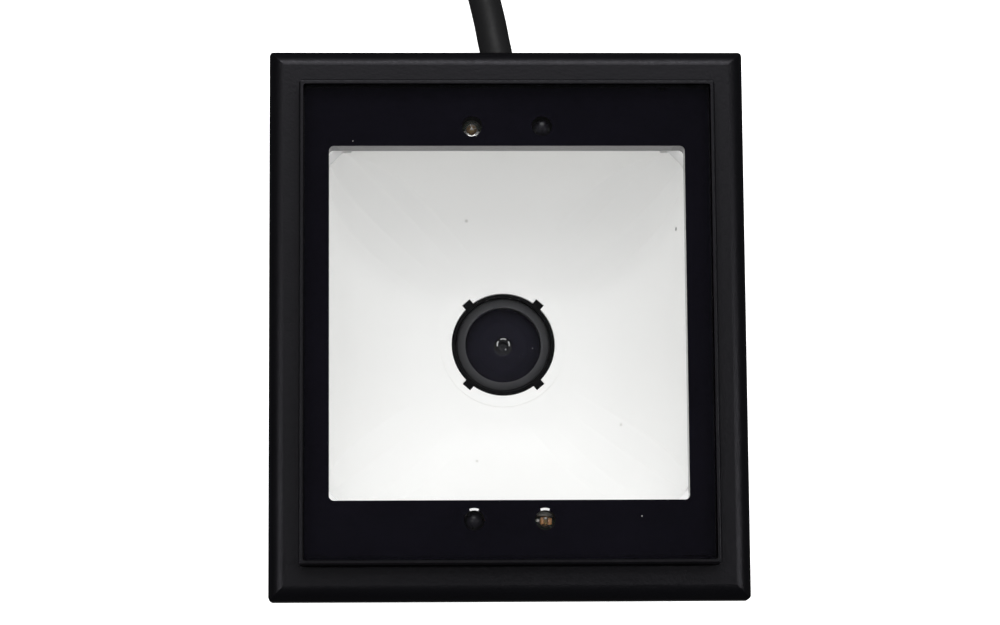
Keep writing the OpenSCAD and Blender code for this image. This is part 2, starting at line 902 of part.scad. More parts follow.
module light_spacers() {
    color("#c9ccd0")
        at_corners(board_hole_x, board_hole_y)
            difference() {
                bar(shoulder_r, camera_top_z, light_z);
                bar(post_r + hole_gap / 2, camera_top_z - overrun, light_z + overrun);
            }
}

// Chip lying on a board
module chip(x, y, w, l, h, z) {
    translate([x - w / 2, y - l / 2, z])
        cube([w, l, h]);
}

module decoder_chips() {
    half_w = big_board_w / 2;
    half_l = big_board_l / 2;
    color("#202124") {
        chip(processor_share[0] * half_w, processor_share[1] * half_l, processor_w, processor_w, chip_h,
            decoder_top_z);
        chip(memory_share[0] * half_w, memory_share[1] * half_l, memory_w, memory_l, chip_h, decoder_top_z);
        chip(power_share[0] * half_w, power_share[1] * half_l, camera_chip_w, camera_chip_w, power_h,
            decoder_top_z);
    }
}

module camera_chips() {
    half_w = camera_w / 2;
    half_l = camera_l / 2;
    color("#202124") {
        chip(light_driver_share[0] * half_w, light_driver_share[1] * half_l, camera_chip_w, camera_chip_w,
            chip_h, camera_top_z);
        chip(clock_share[0] * half_w, clock_share[1] * half_l, camera_chip_w / 2, camera_chip_w, chip_h,
            camera_top_z);
    }
}

// Sounder on the decoder board
module buzzer() {
    color("#18181a")
        translate([buzzer_share[0] * big_board_w / 2, buzzer_share[1] * big_board_l / 2, 0])
            difference() {
                bar(buzzer_r, decoder_top_z, decoder_top_z + buzzer_h);
                bar(buzzer_port_r, decoder_top_z + buzzer_h / 2, decoder_top_z + buzzer_h + overrun);
            }
}

// Stacking connectors between the boards
module board_connector() {
    color("#d8d5c8")
        translate([stack_share[0] * camera_w / 2 - stack_w / 2, stack_share[1] * camera_l / 2 - stack_l / 2,
            decoder_top_z])
            cube([stack_w, stack_l, camera_z - decoder_top_z]);
}

module light_connector() {
    color("#d8d5c8")
        translate([-light_stack_share * camera_w / 2 - stack_l / 2, -light_stack_w / 2, camera_top_z])
            cube([stack_l, light_stack_w, light_z - camera_top_z]);
}

module board_spacers() {
    color("#c9ccd0")
        at_corners(board_hole_x, board_hole_y)
            difference() {
                bar(spacer_r, decoder_top_z, camera_z);
                bar(small_screw_d / 2 + hole_gap, decoder_top_z - overrun, camera_z + overrun);
            }
}

module board_screws() {
    color("#b9bcc0")
        at_corners(board_hole_x, board_hole_y)
            screw(small_head_r, small_head_h, small_screw_d / 2, decoder_z, board_screw_top_z - hole_gap);
}

// Round indicator lamp with a domed tip
module lamp(sx, sy) {
    lamp_r = lamp_d / 2;
    translate([sx * lamp_x, sy * lamp_y, 0]) {
        bar(lamp_r, lamp_base_z, lamp_top_z - lamp_r);
        intersection() {
            translate([0, 0, lamp_top_z - lamp_r])
                sphere(lamp_r);
            bar(lamp_r, lamp_top_z - lamp_r - overrun, lamp_top_z + overrun);
        }
    }
}

module clear_lamp_top() {
    color("#d9dcc0", 0.6)
        lamp(-1, 1);
}

module dark_sensor_top() {
    color("#1a1414")
        lamp(1, 1);
}

module dark_sensor_bottom() {
    color("#141418")
        lamp(-1, -1);
}

module clear_lamp_bottom() {
    color("#d8b48c", 0.6)
        lamp(1, -1);
}

// Small boards that carry the indicator lamps, held on the deck's stakes
module lamp_boards() {
    board_l = lamp_board_out - lamp_board_in;
    color("#1d5b34")
        for (s = [-1, 1])
            difference() {
                translate([-lamp_board_w / 2, s * (lamp_board_in + board_l / 2) - board_l / 2,
                    lamp_base_z - lamp_board_t])
                    cube([lamp_board_w, board_l, lamp_board_t]);
                for (x = [-1, 1])
                    translate([x * stake_x, s * stake_y, 0])
                        bar(stake_pin_r + stake_pin_gap, lamp_base_z - lamp_board_t - overrun,
                            lamp_base_z + overrun);
            }
}

// Flat cables that drop from the indicator boards to the camera board
module lamp_ribbons() {
    fall_z = lamp_base_z - lamp_board_t;
    color("#c98b2a")
        for (s = [0, 180])
            rotate([0, 0, s]) {
                translate([-ribbon_w / 2, ribbon_y, ribbon_z])
                    cube([ribbon_w, ribbon_t, fall_z - ribbon_z]);
                translate([-ribbon_w / 2, socket_y, ribbon_z])
                    cube([ribbon_w, ribbon_y + ribbon_t - socket_y, ribbon_t]);
            }
}

module ribbon_sockets() {
    color("#e4e1d4")
        for (s = [0, 180])
            rotate([0, 0, s])
                translate([-socket_w / 2, socket_y - socket_l, camera_top_z])
                    cube([socket_w, socket_l, socket_h]);
}

module cable_header() {
    color("#e4e1d4")
        translate([-header_w / 2, header_y, decoder_top_z])
            cube([header_w, header_l, header_h]);
}

module cable_wire_plug() {
    color("#efece0")
        translate([-wire_plug_w / 2, wire_plug_y, decoder_top_z])
            cube([wire_plug_w, wire_plug_l, wire_plug_h]);
}

// Four wires from the cable's jacket up to the plug on the board
module cable_wires() {
    plug_face_y = wire_plug_y + wire_plug_l;
    for (i = [0 : wire_count - 1])
        color(["#b03030", "#e8e8e8", "#2f7d3a", "#202020"][i % 4])
            translate([(i - (wire_count - 1) / 2) * wire_pitch - wire_d / 2, 0, 0]) {
                translate([0, wire_rise_y, cable_z - wire_d / 2])
                    cube([wire_d, jacket_start_y - wire_rise_y, wire_d]);
                translate([0, wire_rise_y, cable_z - wire_d / 2])
                    cube([wire_d, wire_d, wire_z + wire_d - cable_z]);
                translate([0, plug_face_y, wire_z - wire_d / 2])
                    cube([wire_d, wire_rise_y + wire_d - plug_face_y, wire_d]);
            }
}

// Jacketed cable inside the grommet
module cable_end() {
    color("#17171a")
        translate([0, relief_end_y, cable_z])
            rotate([90, 0, 0])
                cylinder(h = relief_end_y - jacket_start_y, d = cable_d);
}

// Rubber grommet with a collar on each side of the wall and a ribbed strain relief
module cable_grommet() {
    color("#141416")
        difference() {
            translate([0, 0, cable_z])
                rotate([-90, 0, 0])
                    grommet_turned();
            translate([-collar_r - overrun, entry_y - wall - collar_t - overrun, -cover_t])
                cube([2 * (collar_r + overrun), wall + collar_t + overrun, 2 * cover_t]);
        }
    color("#141416")
        difference() {
            translate([-neck_r, entry_y - wall, cover_t])
                cube([2 * neck_r, wall, cable_z - cover_t]);
            translate([0, entry_y + overrun, cable_z])
                rotate([90, 0, 0])
                    cylinder(h = wall + 2 * overrun, r = neck_r - overrun);
        }
}

// Turned form of the grommet along its own axis
module grommet_turned() {
    root_y = entry_y + collar_t;
    pitch = (relief_end_y - root_y) / (relief_rings + 1);
    difference() {
        union() {
            bar(collar_r, entry_y - wall - collar_t, entry_y - wall);
            bar(neck_r, entry_y - wall, entry_y);
            bar(collar_r, entry_y, root_y);
            translate([0, 0, root_y])
                cylinder(h = relief_end_y - root_y, r1 = relief_root_r, r2 = relief_tip_r);
        }
        bar(cable_d / 2, entry_y - wall - collar_t - overrun, relief_end_y + overrun);
        for (i = [1 : relief_rings])
            difference() {
                bar(collar_r, root_y + i * pitch - ring_groove_w / 2,
                    root_y + i * pitch + ring_groove_w / 2);
                bar(relief_tip_r - ring_groove_depth, root_y, relief_end_y);
            }
    }
}

// Unit vector and cross product for the swept cord
function unit(v) = v / norm(v);
function side_of(d) = unit(cross(d, [0, 0, 1]));
function ring_at(p, d, r) = [
    for (i = [0 : cord_sides - 1])
        let (a = (i + 0.5) * 360 / cord_sides, s = side_of(d), u = cross(s, d))
            p + r * (cos(a) * s + sin(a) * u)
];
function direction(pts, i) = unit(pts[min(i + 1, len(pts) - 1)] - pts[max(i - 1, 0)]);

// Tube swept along a route of points
module swept_cord(pts, r) {
    rings = len(pts);
    points = [for (i = [0 : rings - 1]) each ring_at(pts[i], direction(pts, i), r)];
    sides = [
        for (i = [0 : rings - 2], j = [0 : cord_sides - 1])
            let (k = (j + 1) % cord_sides, a = i * cord_sides)
                [a + j, a + k, a + k + cord_sides, a + j + cord_sides]
    ];
    first_cap = [[for (j = [cord_sides - 1 : -1 : 0]) j]];
    last_cap = [[for (j = [0 : cord_sides - 1]) (rings - 1) * cord_sides + j]];
    polyhedron(points = points, faces = concat(sides, first_cap, last_cap), convexity = 4);
}

module cord_lead() {
    color("#17171a")
        swept_cord(lead_points, cable_d / 2);
}

module cord_tail() {
    color("#17171a")
        swept_cord(tail_points, cable_d / 2);
}

// Coil of the cable as one ring, with the two ends that leave it
module cord_coil() {
    color("#17171a") {
        translate([coil_x, coil_y, 0])
            rotate_extrude()
                translate([coil_mid_r, coil_h / 2])
                    rounded_rect(2 * coil_half, coil_h, coil_edge_r);
        coil_stub(entry_turn, lead_end);
        coil_stub(climb_start, climb_end);
    }
}

// Straight end of a turn from the ring to the point where it is free
module coil_stub(from, to) {
    along = to - from;
    translate(from)
        rotate([0, acos(along[2] / norm(along)), atan2(along[1], along[0])])
            cylinder(h = norm(along), d = cable_d);
}

// Places the plug's pieces, made along -Y from the cord's end, on the coil
module at_plug() {
    translate(tail_end)
        rotate([0, 0, 90])
            children();
}

// Moulded grip with a waist and a short strain relief
module plug_grip() {
    grip_mid_y = -plug_relief_len - grip_len / 2;
    color("#17171a")
        at_plug()
            difference() {
                union() {
                    translate([0, grip_mid_y, -grip_t / 2])
                        intersection() {
                            plate(grip_w, grip_len, grip_r, 0, grip_t);
                            translate([0, grip_len / 2, grip_t / 2])
                                rotate([90, 0, 0])
                                    linear_extrude(grip_len)
                                        rounded_rect(grip_w, grip_t, grip_edge);
                        }
                    translate([0, -plug_relief_len, 0])
                        rotate([-90, 0, 0])
                            cylinder(h = plug_relief_len, r1 = grip_t / 2 - grip_edge / 2,
                                r2 = cable_d / 2 + grip_edge / 2);
                }
                for (s = [-1, 1])
                    translate([s * (grip_w / 2 - grip_waist / 2 + overrun / 2), grip_mid_y, 0])
                        cube([grip_waist + overrun, grip_waist_len, grip_t + overrun], center = true);
            }
}

// Folded metal shell with four latch windows
module plug_shell() {
    color("#c7cace")
        at_plug()
            translate([0, -plug_relief_len - grip_len, 0])
                difference() {
                    translate([-shell_w / 2, -shell_len, -shell_h / 2])
                        cube([shell_w, shell_len, shell_h]);
                    translate([-shell_w / 2 + shell_t, -shell_len - overrun, -shell_h / 2 + shell_t])
                        cube([shell_w - 2 * shell_t, shell_len + overrun, shell_h - 2 * shell_t]);
                    for (s = [-1, 1])
                        translate([s * latch_x - latch_w / 2, -latch_in - latch_l, -shell_h / 2 - overrun])
                            cube([latch_w, latch_l, shell_h + 2 * overrun]);
                }
}

module plug_tongue() {
    color("#e8e8e8")
        at_plug()
            translate([-tongue_w / 2, -plug_relief_len - grip_len - shell_len + tongue_short,
                shell_h / 2 - shell_t - tongue_t])
                cube([tongue_w, shell_len - tongue_short, tongue_t]);
}

module plug_contacts() {
    color("#d9b24c")
        at_plug()
            for (share = contact_shares)
                translate([share * tongue_w / 2 - contact_w / 2,
                    -plug_relief_len - grip_len - shell_len + 2 * tongue_short,
                    shell_h / 2 - shell_t - tongue_t - contact_t])
                    cube([contact_w, contact_len, contact_t]);
}

front_housing();
rear_cover();
cover_seal();
cover_screws();
threaded_inserts();
window_panel();
window_print();
window_seal();
diffuser_bowl();
bowl_screws();
lens_shroud();
lens_barrel();
lens_front_ring();
lens_front_glass();
lens_stop();
lens_rear_glass();
lens_holder();
infrared_filter();
image_sensor();
camera_board();
camera_chips();
light_board();
light_lamps();
light_spacers();
light_connector();
decoder_board();
decoder_chips();
buzzer();
board_connector();
board_spacers();
board_screws();
clear_lamp_top();
dark_sensor_top();
dark_sensor_bottom();
clear_lamp_bottom();
lamp_boards();
lamp_ribbons();
ribbon_sockets();
cable_header();
cable_wire_plug();
cable_wires();
cable_end();
cable_grommet();
cord_lead();
cord_coil();
cord_tail();
plug_grip();
plug_shell();
plug_tongue();
plug_contacts();
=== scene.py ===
"""Looks of the fixed barcode reader: camera, cable, lens and lamp details, materials and light."""
import json
import math

import bpy
from mathutils import Matrix, Vector

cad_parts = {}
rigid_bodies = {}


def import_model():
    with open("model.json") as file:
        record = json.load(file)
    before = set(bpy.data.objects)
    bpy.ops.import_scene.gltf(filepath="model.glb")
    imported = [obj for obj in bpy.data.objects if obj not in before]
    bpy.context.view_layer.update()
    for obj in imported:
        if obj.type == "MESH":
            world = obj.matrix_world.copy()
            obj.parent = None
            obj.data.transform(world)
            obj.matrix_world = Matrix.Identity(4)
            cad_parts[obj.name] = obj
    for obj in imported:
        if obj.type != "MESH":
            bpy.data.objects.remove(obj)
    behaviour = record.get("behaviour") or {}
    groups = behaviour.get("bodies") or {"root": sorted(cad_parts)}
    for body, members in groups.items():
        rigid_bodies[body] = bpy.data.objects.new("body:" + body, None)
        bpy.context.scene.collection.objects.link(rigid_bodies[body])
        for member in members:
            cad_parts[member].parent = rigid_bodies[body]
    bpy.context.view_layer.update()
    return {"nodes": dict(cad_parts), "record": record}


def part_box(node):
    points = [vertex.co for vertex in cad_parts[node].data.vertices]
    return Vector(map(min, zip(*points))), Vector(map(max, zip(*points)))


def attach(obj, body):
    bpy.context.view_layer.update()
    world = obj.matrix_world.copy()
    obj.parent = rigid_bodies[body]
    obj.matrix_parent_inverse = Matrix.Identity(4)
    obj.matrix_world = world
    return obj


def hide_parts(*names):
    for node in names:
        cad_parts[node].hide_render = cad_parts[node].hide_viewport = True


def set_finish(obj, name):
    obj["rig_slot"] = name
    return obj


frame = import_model()
nodes = frame["nodes"]
MM = 0.001

# Camera, fitted to the front's edges in the photo
IMAGE_W = 1000
FOCAL_PX = 3611.88
SENSOR_W = 36.0
CAMERA_AT = Vector((-18.304, -79.651, 554.434)) * MM
CAMERA_TURNS = (-0.1585, 0.0338, 0.0072)

# Cable and coil sizes
CABLE_D = 5 * MM
CABLE_Z = 6.5 * MM
RELIEF_END_Y = 46.7 * MM
COIL_AT = Vector((-21.5, 114, 0)) * MM
COIL_OUTER_R = 38.75 * MM
COIL_TURNS = 3.5
ENTRY_DEG = -30
STUB_LEN = 22 * MM
CLIMB_R = 33 * MM
CLIMB_RISE = 5.1 * MM
CLIMB_DEG = 36
LOW_Z = CABLE_D / 2
HIGH_Z = LOW_Z + CABLE_D

# Window and bowl mouth
WINDOW_HALF = 25.45 * MM
MOUTH_HALF = 26 * MM
FILLET_LEG = 3.56 * MM
FILLET_DROP = 3.25 * MM

# Radius left open at the middle of a turned piece, in the millimetres that in_mm takes
TIP_R_MM = 0.01

panel_low, panel_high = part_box("window_panel")
print_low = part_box("window_print")[0]
bowl_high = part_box("diffuser_bowl")[1]
ring_low, ring_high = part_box("lens_front_ring")
stop_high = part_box("lens_stop")[1]
grip_low, grip_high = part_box("plug_grip")


# Camera
def add_camera():
    data = bpy.data.cameras.new("camera")
    data.sensor_fit = "HORIZONTAL"
    data.sensor_width = SENSOR_W
    data.lens = FOCAL_PX / IMAGE_W * SENSOR_W
    data.clip_start = 0.01
    data.clip_end = 20
    turn_x, turn_y, turn_z = CAMERA_TURNS
    to_camera = (
        Matrix.Rotation(turn_z, 3, "Z") @ Matrix.Rotation(turn_x, 3, "X") @ Matrix.Rotation(turn_y, 3, "Y")
    )
    camera = bpy.data.objects.new("camera", data)
    camera.matrix_world = Matrix.Translation(CAMERA_AT) @ to_camera.transposed().to_4x4()
    bpy.context.collection.objects.link(camera)
    bpy.context.scene.camera = camera


add_camera()


# Building pieces
def in_mm(points):
    """Outline points that are given in millimetres."""
    return [(first * MM, second * MM) for first, second in points]


def add_mesh(name, points, faces, slot, smooth=True):
    """A piece from points and faces, which rides on the body and names its slot."""
    mesh = bpy.data.meshes.new(name)
    mesh.from_pydata([tuple(p) for p in points], [], faces)
    mesh.validate()
    mesh.update()
    if smooth:
        mesh.shade_smooth()
    piece = bpy.data.objects.new(name, mesh)
    bpy.context.collection.objects.link(piece)
    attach(piece, "root")
    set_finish(piece, slot)
    return piece


def add_turned(name, profile, centre, slot, sides=64, smooth=True, span=(0, 360)):
    """A piece turned round the upright axis through centre, from closed (radius, height) points."""
    points, faces = [], []
    x, y, z = centre
    count = len(profile)
    whole = span[1] - span[0] == 360
    for i in range(sides if whole else sides + 1):
        angle = math.radians(span[0] + (span[1] - span[0]) * i / sides)
        for radius, height in profile:
            points.append((x + radius * math.cos(angle), y + radius * math.sin(angle), z + height))
    for i in range(sides):
        k = (i + 1) % sides if whole else i + 1
        for j in range(count):
            m = (j + 1) % count
            faces.append((i * count + j, k * count + j, k * count + m, i * count + m))
    if not whole:
        faces += [tuple(reversed(range(count))), tuple(range(sides * count, (sides + 1) * count))]
    return add_mesh(name, points, faces, slot, smooth)


def add_prism(name, outline, low, high, slot):
    """An upright prism on a plan outline, between two levels."""
    count = len(outline)
    points = [(x, y, low) for x, y in outline] + [(x, y, high) for x, y in outline]
    faces = [tuple(reversed(range(count))), tuple(range(count, 2 * count))]
    for i in range(count):
        k = (i + 1) % count
        faces.append((i, k, k + count, i + count))
    return add_mesh(name, points, faces, slot, smooth=False)


def add_block(name, low, high, slot, edge):
    """A block between two corners, its edges rounded."""
    outline = [(low[0], low[1]), (high[0], low[1]), (high[0], high[1]), (low[0], high[1])]
    piece = add_prism(name, outline, low[2], high[2], slot)
    rounding = piece.modifiers.new("edges", "BEVEL")
    rounding.width = edge
    rounding.segments = 2
    return piece


# Cable
def lead_route():
    """From the strain relief down to the table and along it to where the first turn begins."""
    chosen = [
        (0, 48, 6.5), (-0.5, 51, 6.1), (-1, 54, 5.4), (-1.6, 57, 4.5), (-2.2, 60, 3.7), (-2.6, 62.9, 3.1),
        (-2.5, 65.7, 2.7), (-2.1, 68.4, 2.5), (-1.3, 71.1, 2.5),
    ]
    last_step = 2 * MM
    entry = math.radians(ENTRY_DEG)
    entry_turn = COIL_AT + Vector((COIL_OUTER_R * math.cos(entry), COIL_OUTER_R * math.sin(entry), LOW_Z))
    heading = Vector((-math.sin(entry), math.cos(entry), 0))
    lead_end = entry_turn - STUB_LEN * heading
    route = [Vector((0, RELIEF_END_Y, CABLE_Z))] + [Vector(p) * MM for p in chosen]
    return route + [lead_end - last_step * heading, lead_end, entry_turn - STUB_LEN / 2 * heading]


def coil_route():
    """Inwards on the table, a climb at the inner turn, outwards on top, and a climb onto the coil."""
    per_turn = 18
    inner_r = COIL_OUTER_R - COIL_TURNS * CABLE_D
    last_share = CLIMB_DEG / 360
    climb_turns = (0.5 - ENTRY_DEG / 360 - 2 * COIL_TURNS - last_share) % 1
    spans = [
        (COIL_TURNS, COIL_OUTER_R, inner_r, LOW_Z, LOW_Z, 3, 2),
        (climb_turns, inner_r, inner_r, LOW_Z, HIGH_Z, 3, 2),
        (COIL_TURNS, inner_r, COIL_OUTER_R, HIGH_Z, HIGH_Z, 3, 2),
        (last_share, COIL_OUTER_R, CLIMB_R, HIGH_Z, HIGH_Z + CLIMB_RISE, 1.87, 0.87),
    ]
    route = []
    turned = ENTRY_DEG / 360
    for turns, from_r, to_r, from_z, to_z, square, cube in spans:
        steps = max(4, round(turns * per_turn))
        for i in range(steps):
            share = i / steps
            rise = square * share**2 - cube * share**3
            angle = 2 * math.pi * (turned + turns * share)
            radius = from_r + (to_r - from_r) * (share if turns > 1 else share * share * (3 - 2 * share))
            height = from_z + (to_z - from_z) * rise
            route.append(COIL_AT + Vector((radius * math.cos(angle), radius * math.sin(angle), height)))
        turned += turns
    return route


def tail_route():
    """Across the top of the coil into the plug, which lies on it."""
    chosen = [
        (-33, 0, 12.6), (-32.7, -3.5, 13.3), (-31.8, -6.8, 13.7), (-30.3, -10, 13.9), (-28.3, -12.9, 14),
        (-25.9, -15.3, 14), (-23, -17.3, 14), (-19.8, -18.8, 14), (-16.5, -19.7, 14), (-13, -20, 14),
        (-11.5, -20, 14),
    ]
    return [COIL_AT + Vector(p) * MM for p in chosen]


def add_cable():
    """The whole cable. The depth is 1 and the points carry the radius, so that its box comes out true."""
    route = lead_route() + coil_route() + tail_route()
    curve = bpy.data.curves.new("cable", "CURVE")
    curve.dimensions = "3D"
    curve.resolution_u = 6
    curve.bevel_depth = 1.0
    curve.bevel_resolution = 5
    curve.use_fill_caps = True
    spline = curve.splines.new("BEZIER")
    spline.bezier_points.add(len(route) - 1)
    for point, place in zip(spline.bezier_points, route):
        point.co = place
        point.radius = CABLE_D / 2
        point.handle_left_type = point.handle_right_type = "AUTO"
    cable = bpy.data.objects.new("cable", curve)
    bpy.context.collection.objects.link(cable)
    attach(cable, "root")
    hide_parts("cord_lead", "cord_coil", "cord_tail")
    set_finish(cable, "cable_jacket")
    return cable


def add_coil_tie():
    """A soft strap round the coil's turns."""
    slack, floor_gap, top_gap = 0.4 * MM, 0.05 * MM, 0.5 * MM
    thick, half_w, corner = 0.7 * MM, 4 * MM, 2 * MM
    corner_steps = 6
    tie_turn = math.radians(65)
    inner = COIL_OUTER_R - COIL_TURNS * CABLE_D - CABLE_D / 2 - slack
    outer = COIL_OUTER_R + CABLE_D / 2 + slack
    low, high = floor_gap, 2 * CABLE_D + top_gap
    loop = []
    for cx, cz, start in ((outer - corner, high - corner, 0), (inner + corner, high - corner, 90),
                          (inner + corner, low + corner, 180), (outer - corner, low + corner, 270)):
        for i in range(corner_steps + 1):
            angle = math.radians(start + 90 / corner_steps * i)
            loop.append((cx, cz, math.cos(angle), math.sin(angle)))
    across = Vector((math.cos(tie_turn), math.sin(tie_turn), 0))
    along = Vector((-across.y, across.x, 0))
    points = []
    for cx, cz, nx, nz in loop:
        for side, depth in ((-1, 0), (1, 0), (1, thick), (-1, thick)):
            reach = corner - depth
            level = Vector((0, 0, cz + nz * reach))
            points.append(COIL_AT + across * (cx + nx * reach) + along * side * half_w + level)
    count = len(loop)
    faces = []
    for i in range(count):
        k = (i + 1) % count
        for j in range(4):
            m = (j + 1) % 4
            faces.append((4 * i + j, 4 * k + j, 4 * k + m, 4 * i + m))
    return add_mesh("coil_tie", points, faces, "grommet_rubber", smooth=False)


cable = add_cable()
coil_tie = add_coil_tie()
on_cable = [coil_tie]


def add_plug_details():
    """Ribs in the grip's waist."""
    waist, rib_w, rib_gap, rib_edge = 0.8 * MM, 0.9 * MM, 1.8 * MM, 0.2 * MM
    inset, past_middle = 1.2 * MM, 4 * MM
    mid_x = (grip_low.x + grip_high.x) / 2 + past_middle
    found = []
    for side, y in (("near", grip_low.y), ("far", grip_high.y - waist)):
        for i in range(5):
            rib_x = mid_x + (i - 2) * rib_gap
            low = (rib_x - rib_w / 2, y, grip_low.z + inset)
            high = (rib_x + rib_w / 2, y + waist, grip_high.z - inset)
            found.append(add_block(f"plug_rib_{side}_{i + 1}", low, high, "plug_plastic", rib_edge))
    return found


on_cable += add_plug_details()


# Lens
def add_arc(name, centre, inner_r, outer_r, from_deg, to_deg, low, high, slot):
    """A flat curved strip between two angles and two levels."""
    steps = 8
    outline = []
    for radius, order in ((inner_r, range(steps + 1)), (outer_r, range(steps, -1, -1))):
        for i in order:
            angle = math.radians(from_deg + (to_deg - from_deg) * i / steps)
            outline.append((centre[0] + radius * math.cos(angle), centre[1] + radius * math.sin(angle)))
    return add_prism(name, outline, low, high, slot)


def add_face_ring():
    """The flat front ring, which the photo shows where the CAD has a cone."""
    height = ring_high.z - ring_low.z
    outer, inner = (ring_high.x - ring_low.x) / 2, 5.6 * MM
    lip, inner_edge, slope = 0.25 * MM, 0.06 * MM, 0.1 * MM
    ring = add_turned(
        "lens_face_ring",
        [
            (inner, height - inner_edge), (inner + inner_edge, height), (outer - lip, height - slope),
            (outer, height - lip), (outer, 0), (inner, 0),
        ],
        (0, 0, ring_low.z), "lens_ring", sides=96, smooth=False,
    )
    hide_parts("lens_front_ring")


def add_iris(top):
    """Iris plate with its fine groove, and the blades in it."""
    hole_r, blade_r, plate_r, plate_t = 0.85 * MM, 1.35 * MM, 5.5 * MM, 0.12 * MM
    groove_r, groove_w = 3.75 * MM, 0.05 * MM
    add_turned(
        "lens_iris",
        [
            (blade_r, 0), (groove_r, 0), (groove_r + groove_w, -groove_w), (groove_r + 2 * groove_w, 0),
            (plate_r, 0), (plate_r, -plate_t), (blade_r, -plate_t),
        ],
        (0, 0, top), "lens_black", smooth=False,
    )
    add_turned(
        "lens_blades", [(hole_r, 0), (blade_r, 0), (blade_r, -plate_t), (hole_r, -plate_t)], (0, 0, top),
        "chip_black", sides=48, smooth=False,
    )


def add_painted_blade_glints(top):
    """Painted glints: pale arcs round the opening between the blades, where the lights reflect."""
    edge_at, edge_r, edge_w, edge_t = (0.1 * MM, 0.42 * MM), 0.8 * MM, 0.17 * MM, 0.02 * MM
    # Pale pieces that stand for the lights' reflections in the lens.
    for name, from_deg, to_deg in (("top", 62, 118), ("left", 146, 196), ("right", -14, 34)):
        add_arc(
            f"lens_edge_{name}", edge_at, edge_r, edge_r + edge_w, from_deg, to_deg, top, top + edge_t,
            "lamp_white",
        )


def add_inner_element(top):
    """The element behind the blades, with a painted glint on it, a white speck where a reflection shows, and
    a speck of dust on the plate.
    """
    element = [(TIP_R_MM, 0), (0.5, -0.04), (0.95, -0.16), (0.95, -0.5), (TIP_R_MM, -0.5)]
    element_drop, glint_drop = 0.6 * MM, 0.65 * MM
    add_turned("lens_inner_element", in_mm(element), (0, 0, top - element_drop), "lens_ring", sides=48)
    # The inner speck is a painted glint, the outer one is dust.
    for name, x, y, radius, level in (
        ("inner", 0.45, -0.2, 0.13, top - glint_drop), ("outer", 4.45, -0.15, 0.06, top)
    ):
        speck = [(TIP_R_MM, 0.03), (radius, 0.01), (radius, 0), (TIP_R_MM, 0)]
        add_turned(f"lens_dust_{name}", in_mm(speck), (x * MM, y * MM, level), "lamp_white", sides=12)


plate_top = stop_high.z + 0.05 * MM
add_face_ring()
add_iris(plate_top)
add_painted_blade_glints(plate_top)
add_inner_element(plate_top)


# Indicator lamps
def add_lamp_core(name, node, dish_drop):
    """Cup, die and the two legs inside a lamp."""
    cup = [(TIP_R_MM, -0.45), (0.35, -0.45), (0.72, 0), (0.76, -0.1), (0.76, -0.6), (TIP_R_MM, -0.6)]
    die_half, die_low, die_high, die_edge = 0.2 * MM, -0.45 * MM, -0.25 * MM, 0.03 * MM
    leg_at, leg_half, leg_top, leg_edge = 0.7 * MM, 0.25 * MM, -0.7 * MM, 0.05 * MM
    low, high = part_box(node)
    centre = (low + high) / 2
    x, y, dish_z = centre.x, centre.y, high.z - dish_drop
    add_turned(f"{name}_cup", in_mm(cup), (x, y, dish_z), "insert_brass", sides=48, smooth=False)
    add_block(
        f"{name}_die", (x - die_half, y - die_half, dish_z + die_low),
        (x + die_half, y + die_half, dish_z + die_high), "contact_gold", die_edge,
    )
    for side, leg_x in (("left", x - leg_at), ("right", x + leg_at)):
        add_block(
            f"{name}_leg_{side}", (leg_x - leg_half, y - leg_half, low.z),
            (leg_x + leg_half, y + leg_half, dish_z + leg_top), "screw_steel", leg_edge,
        )
    return centre, dish_z


def add_top_lamp_parts(centre, dish_z):
    """Bright lower rim of the dish and the pale three-sided tip of the bond post."""
    rim = [(0.8, 0), (1.25, 0.13), (1.28, 0.1), (1.28, -0.1), (0.8, -0.1)]
    add_turned(
        "lamp_top_dish", in_mm(rim), (centre.x, centre.y, dish_z), "plug_metal", sides=36, smooth=False,
        span=(192, 345),
    )
    tip = [(-0.24, -0.05), (0.24, -0.05), (0, 0.41)]
    tip_low, tip_high = -0.2 * MM, 0.25 * MM
    outline = [(centre.x + x, centre.y + y) for x, y in in_mm(tip)]
    add_prism("lamp_top_post", outline, dish_z + tip_low, dish_z + tip_high, "lamp_white")


def add_bottom_lamp_parts(centre, dish_z):
    """Copper frame of the lower lamp, with painted highlights: two pale dots where the frame shows a silver
    glint and a grey one, and a grey lower arc that is a painted reflection of the lamp's dish.
    """
    frame_low, frame_step, frame_edge = -0.3 * MM, 0.06 * MM, 0.15 * MM
    for i, (x, y, half_x, half_y, slot) in enumerate((
        (-0.42, 0.08, 0.24, 0.5, "ribbon_amber"), (0.72, -0.02, 0.28, 0.48, "ribbon_amber"),
        (0.18, -0.25, 0.2, 0.3, "contact_gold"),
    )):
        at = (centre.x + x * MM, centre.y + y * MM)
        add_block(
            f"lamp_bottom_frame_{i + 1}", (at[0] - half_x * MM, at[1] - half_y * MM, dish_z + frame_low),
            (at[0] + half_x * MM, at[1] + half_y * MM, dish_z + (i + 1) * frame_step), slot, frame_edge,
        )
    # Painted highlights: pale dots where the frame glints.
    glint_rise = 0.12 * MM
    for i, (x, y, radius) in enumerate(((-1.05, 0.1, 0.27), (0.1, 0.42, 0.17))):
        glint_profile = [(TIP_R_MM, 0.1), (0.7 * radius, 0.07), (radius, 0), (TIP_R_MM, 0)]
        place = (centre.x + x * MM, centre.y + y * MM, dish_z + glint_rise)
        add_turned(f"lamp_bottom_pad_{i + 1}", in_mm(glint_profile), place, "lamp_white", sides=20)
    # Painted reflection: a grey arc along the lower rim, where the dish reflects dimly.
    dim_reflection_arc = [(1.22, 0), (1.42, 0), (1.42, -0.3), (1.22, -0.3)]
    add_turned(
        "lamp_bottom_collar", in_mm(dim_reflection_arc), (centre.x, centre.y, dish_z), "lens_ring", sides=36,
        smooth=False, span=(190, 350),
    )


